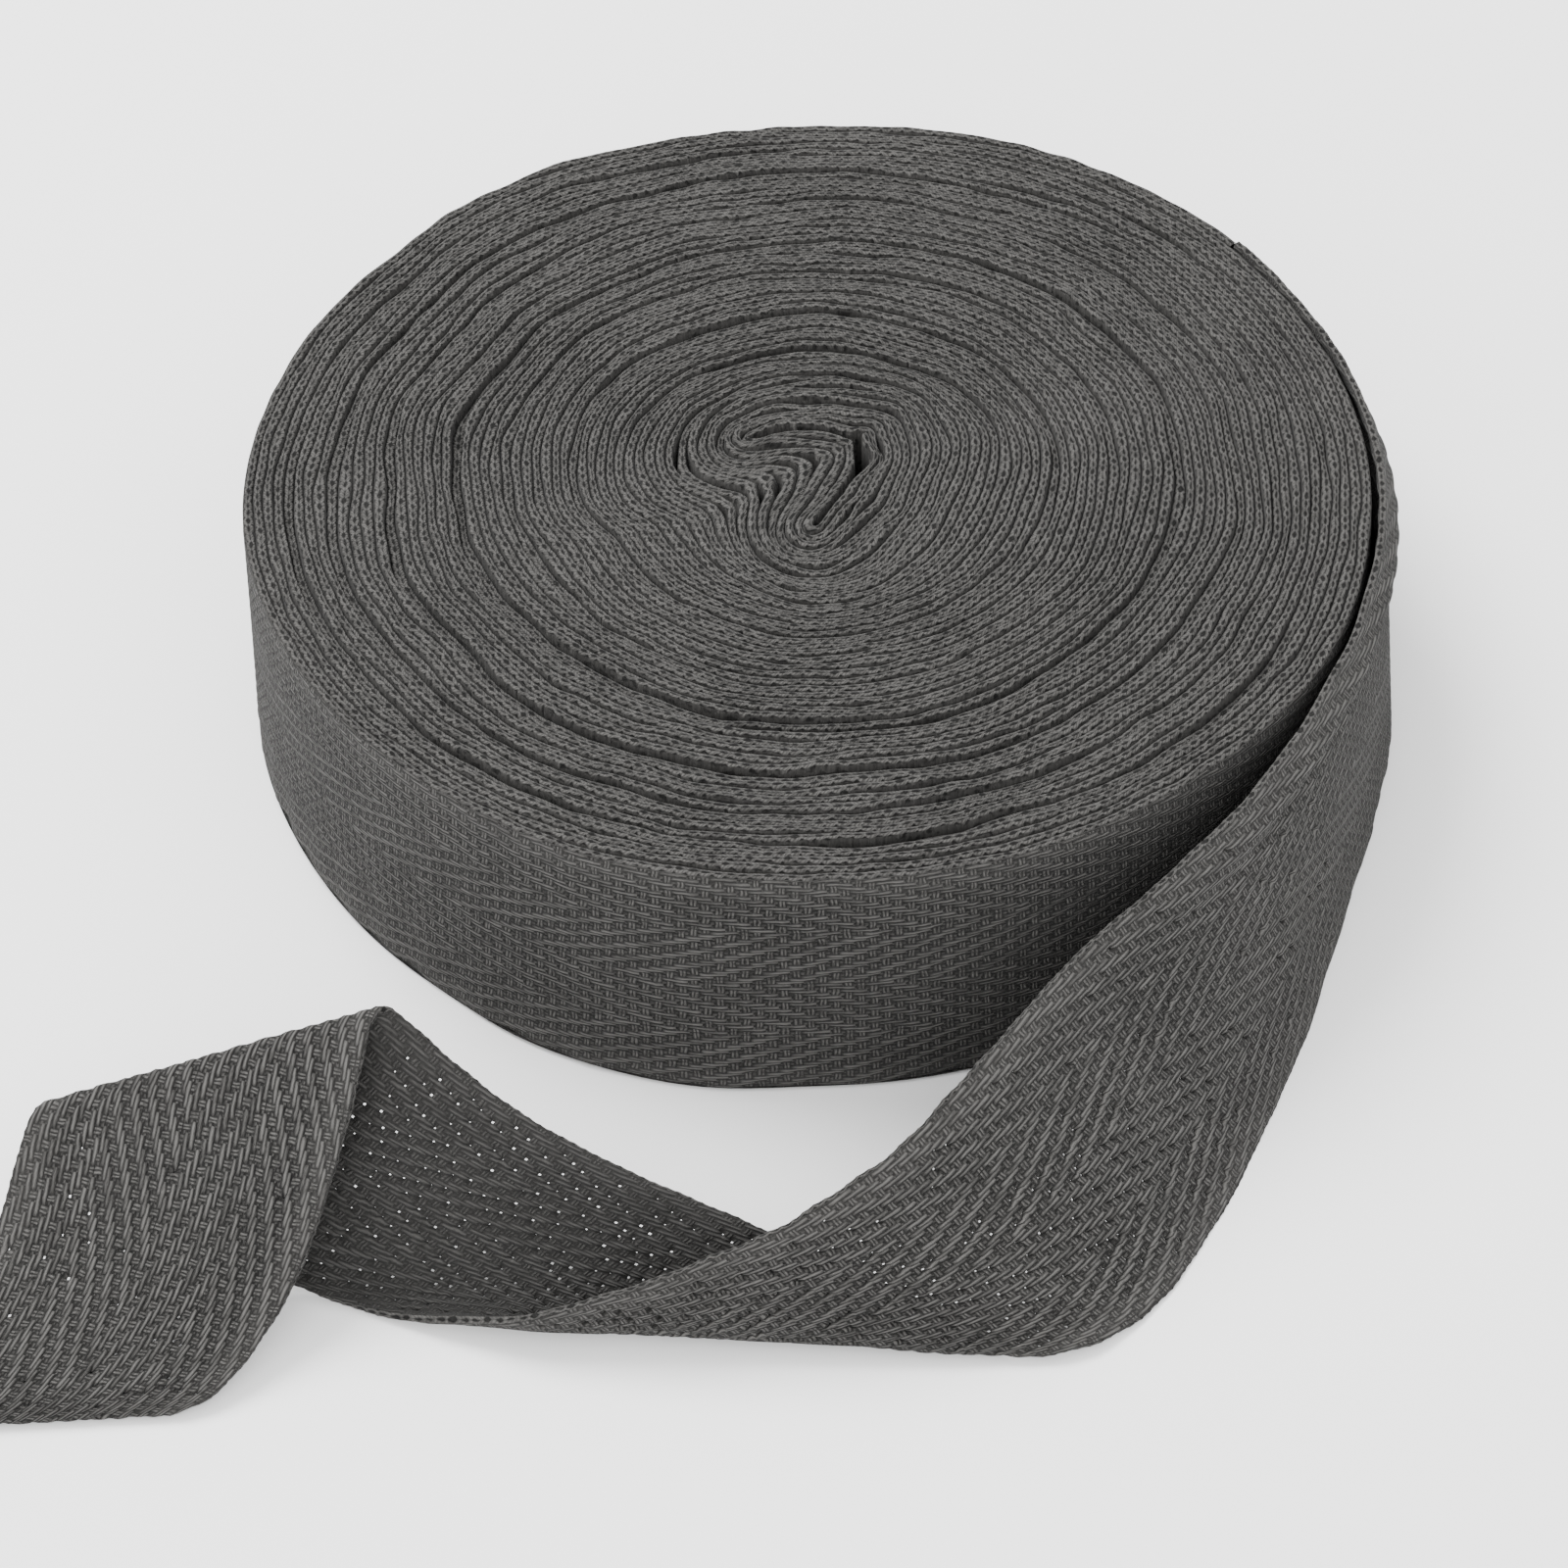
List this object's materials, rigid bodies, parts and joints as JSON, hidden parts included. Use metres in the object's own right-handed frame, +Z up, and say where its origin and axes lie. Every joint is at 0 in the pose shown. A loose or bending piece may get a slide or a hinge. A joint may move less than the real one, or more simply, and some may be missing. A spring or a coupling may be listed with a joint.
{
  "type": "roll of cotton twill tape",
  "caption": "Flat roll of charcoal herringbone cotton twill tape lying on its side, its loose end twisted out in front.",
  "frame": {"origin": "centre of the wound roll's flat bottom face, on the surface it lies on", "axes": "+Z up out of the roll's flat side, -Y towards the viewer, where the loose end lies"},
  "size_m": [0.1446, 0.1377, 0.025],
  "materials": {
    "tape": "matt charcoal cotton, herringbone twill"
  },
  "bodies": {
    "root": {"wound_roll": "tape", "loose_end": "tape"}
  },
  "joints": []
}
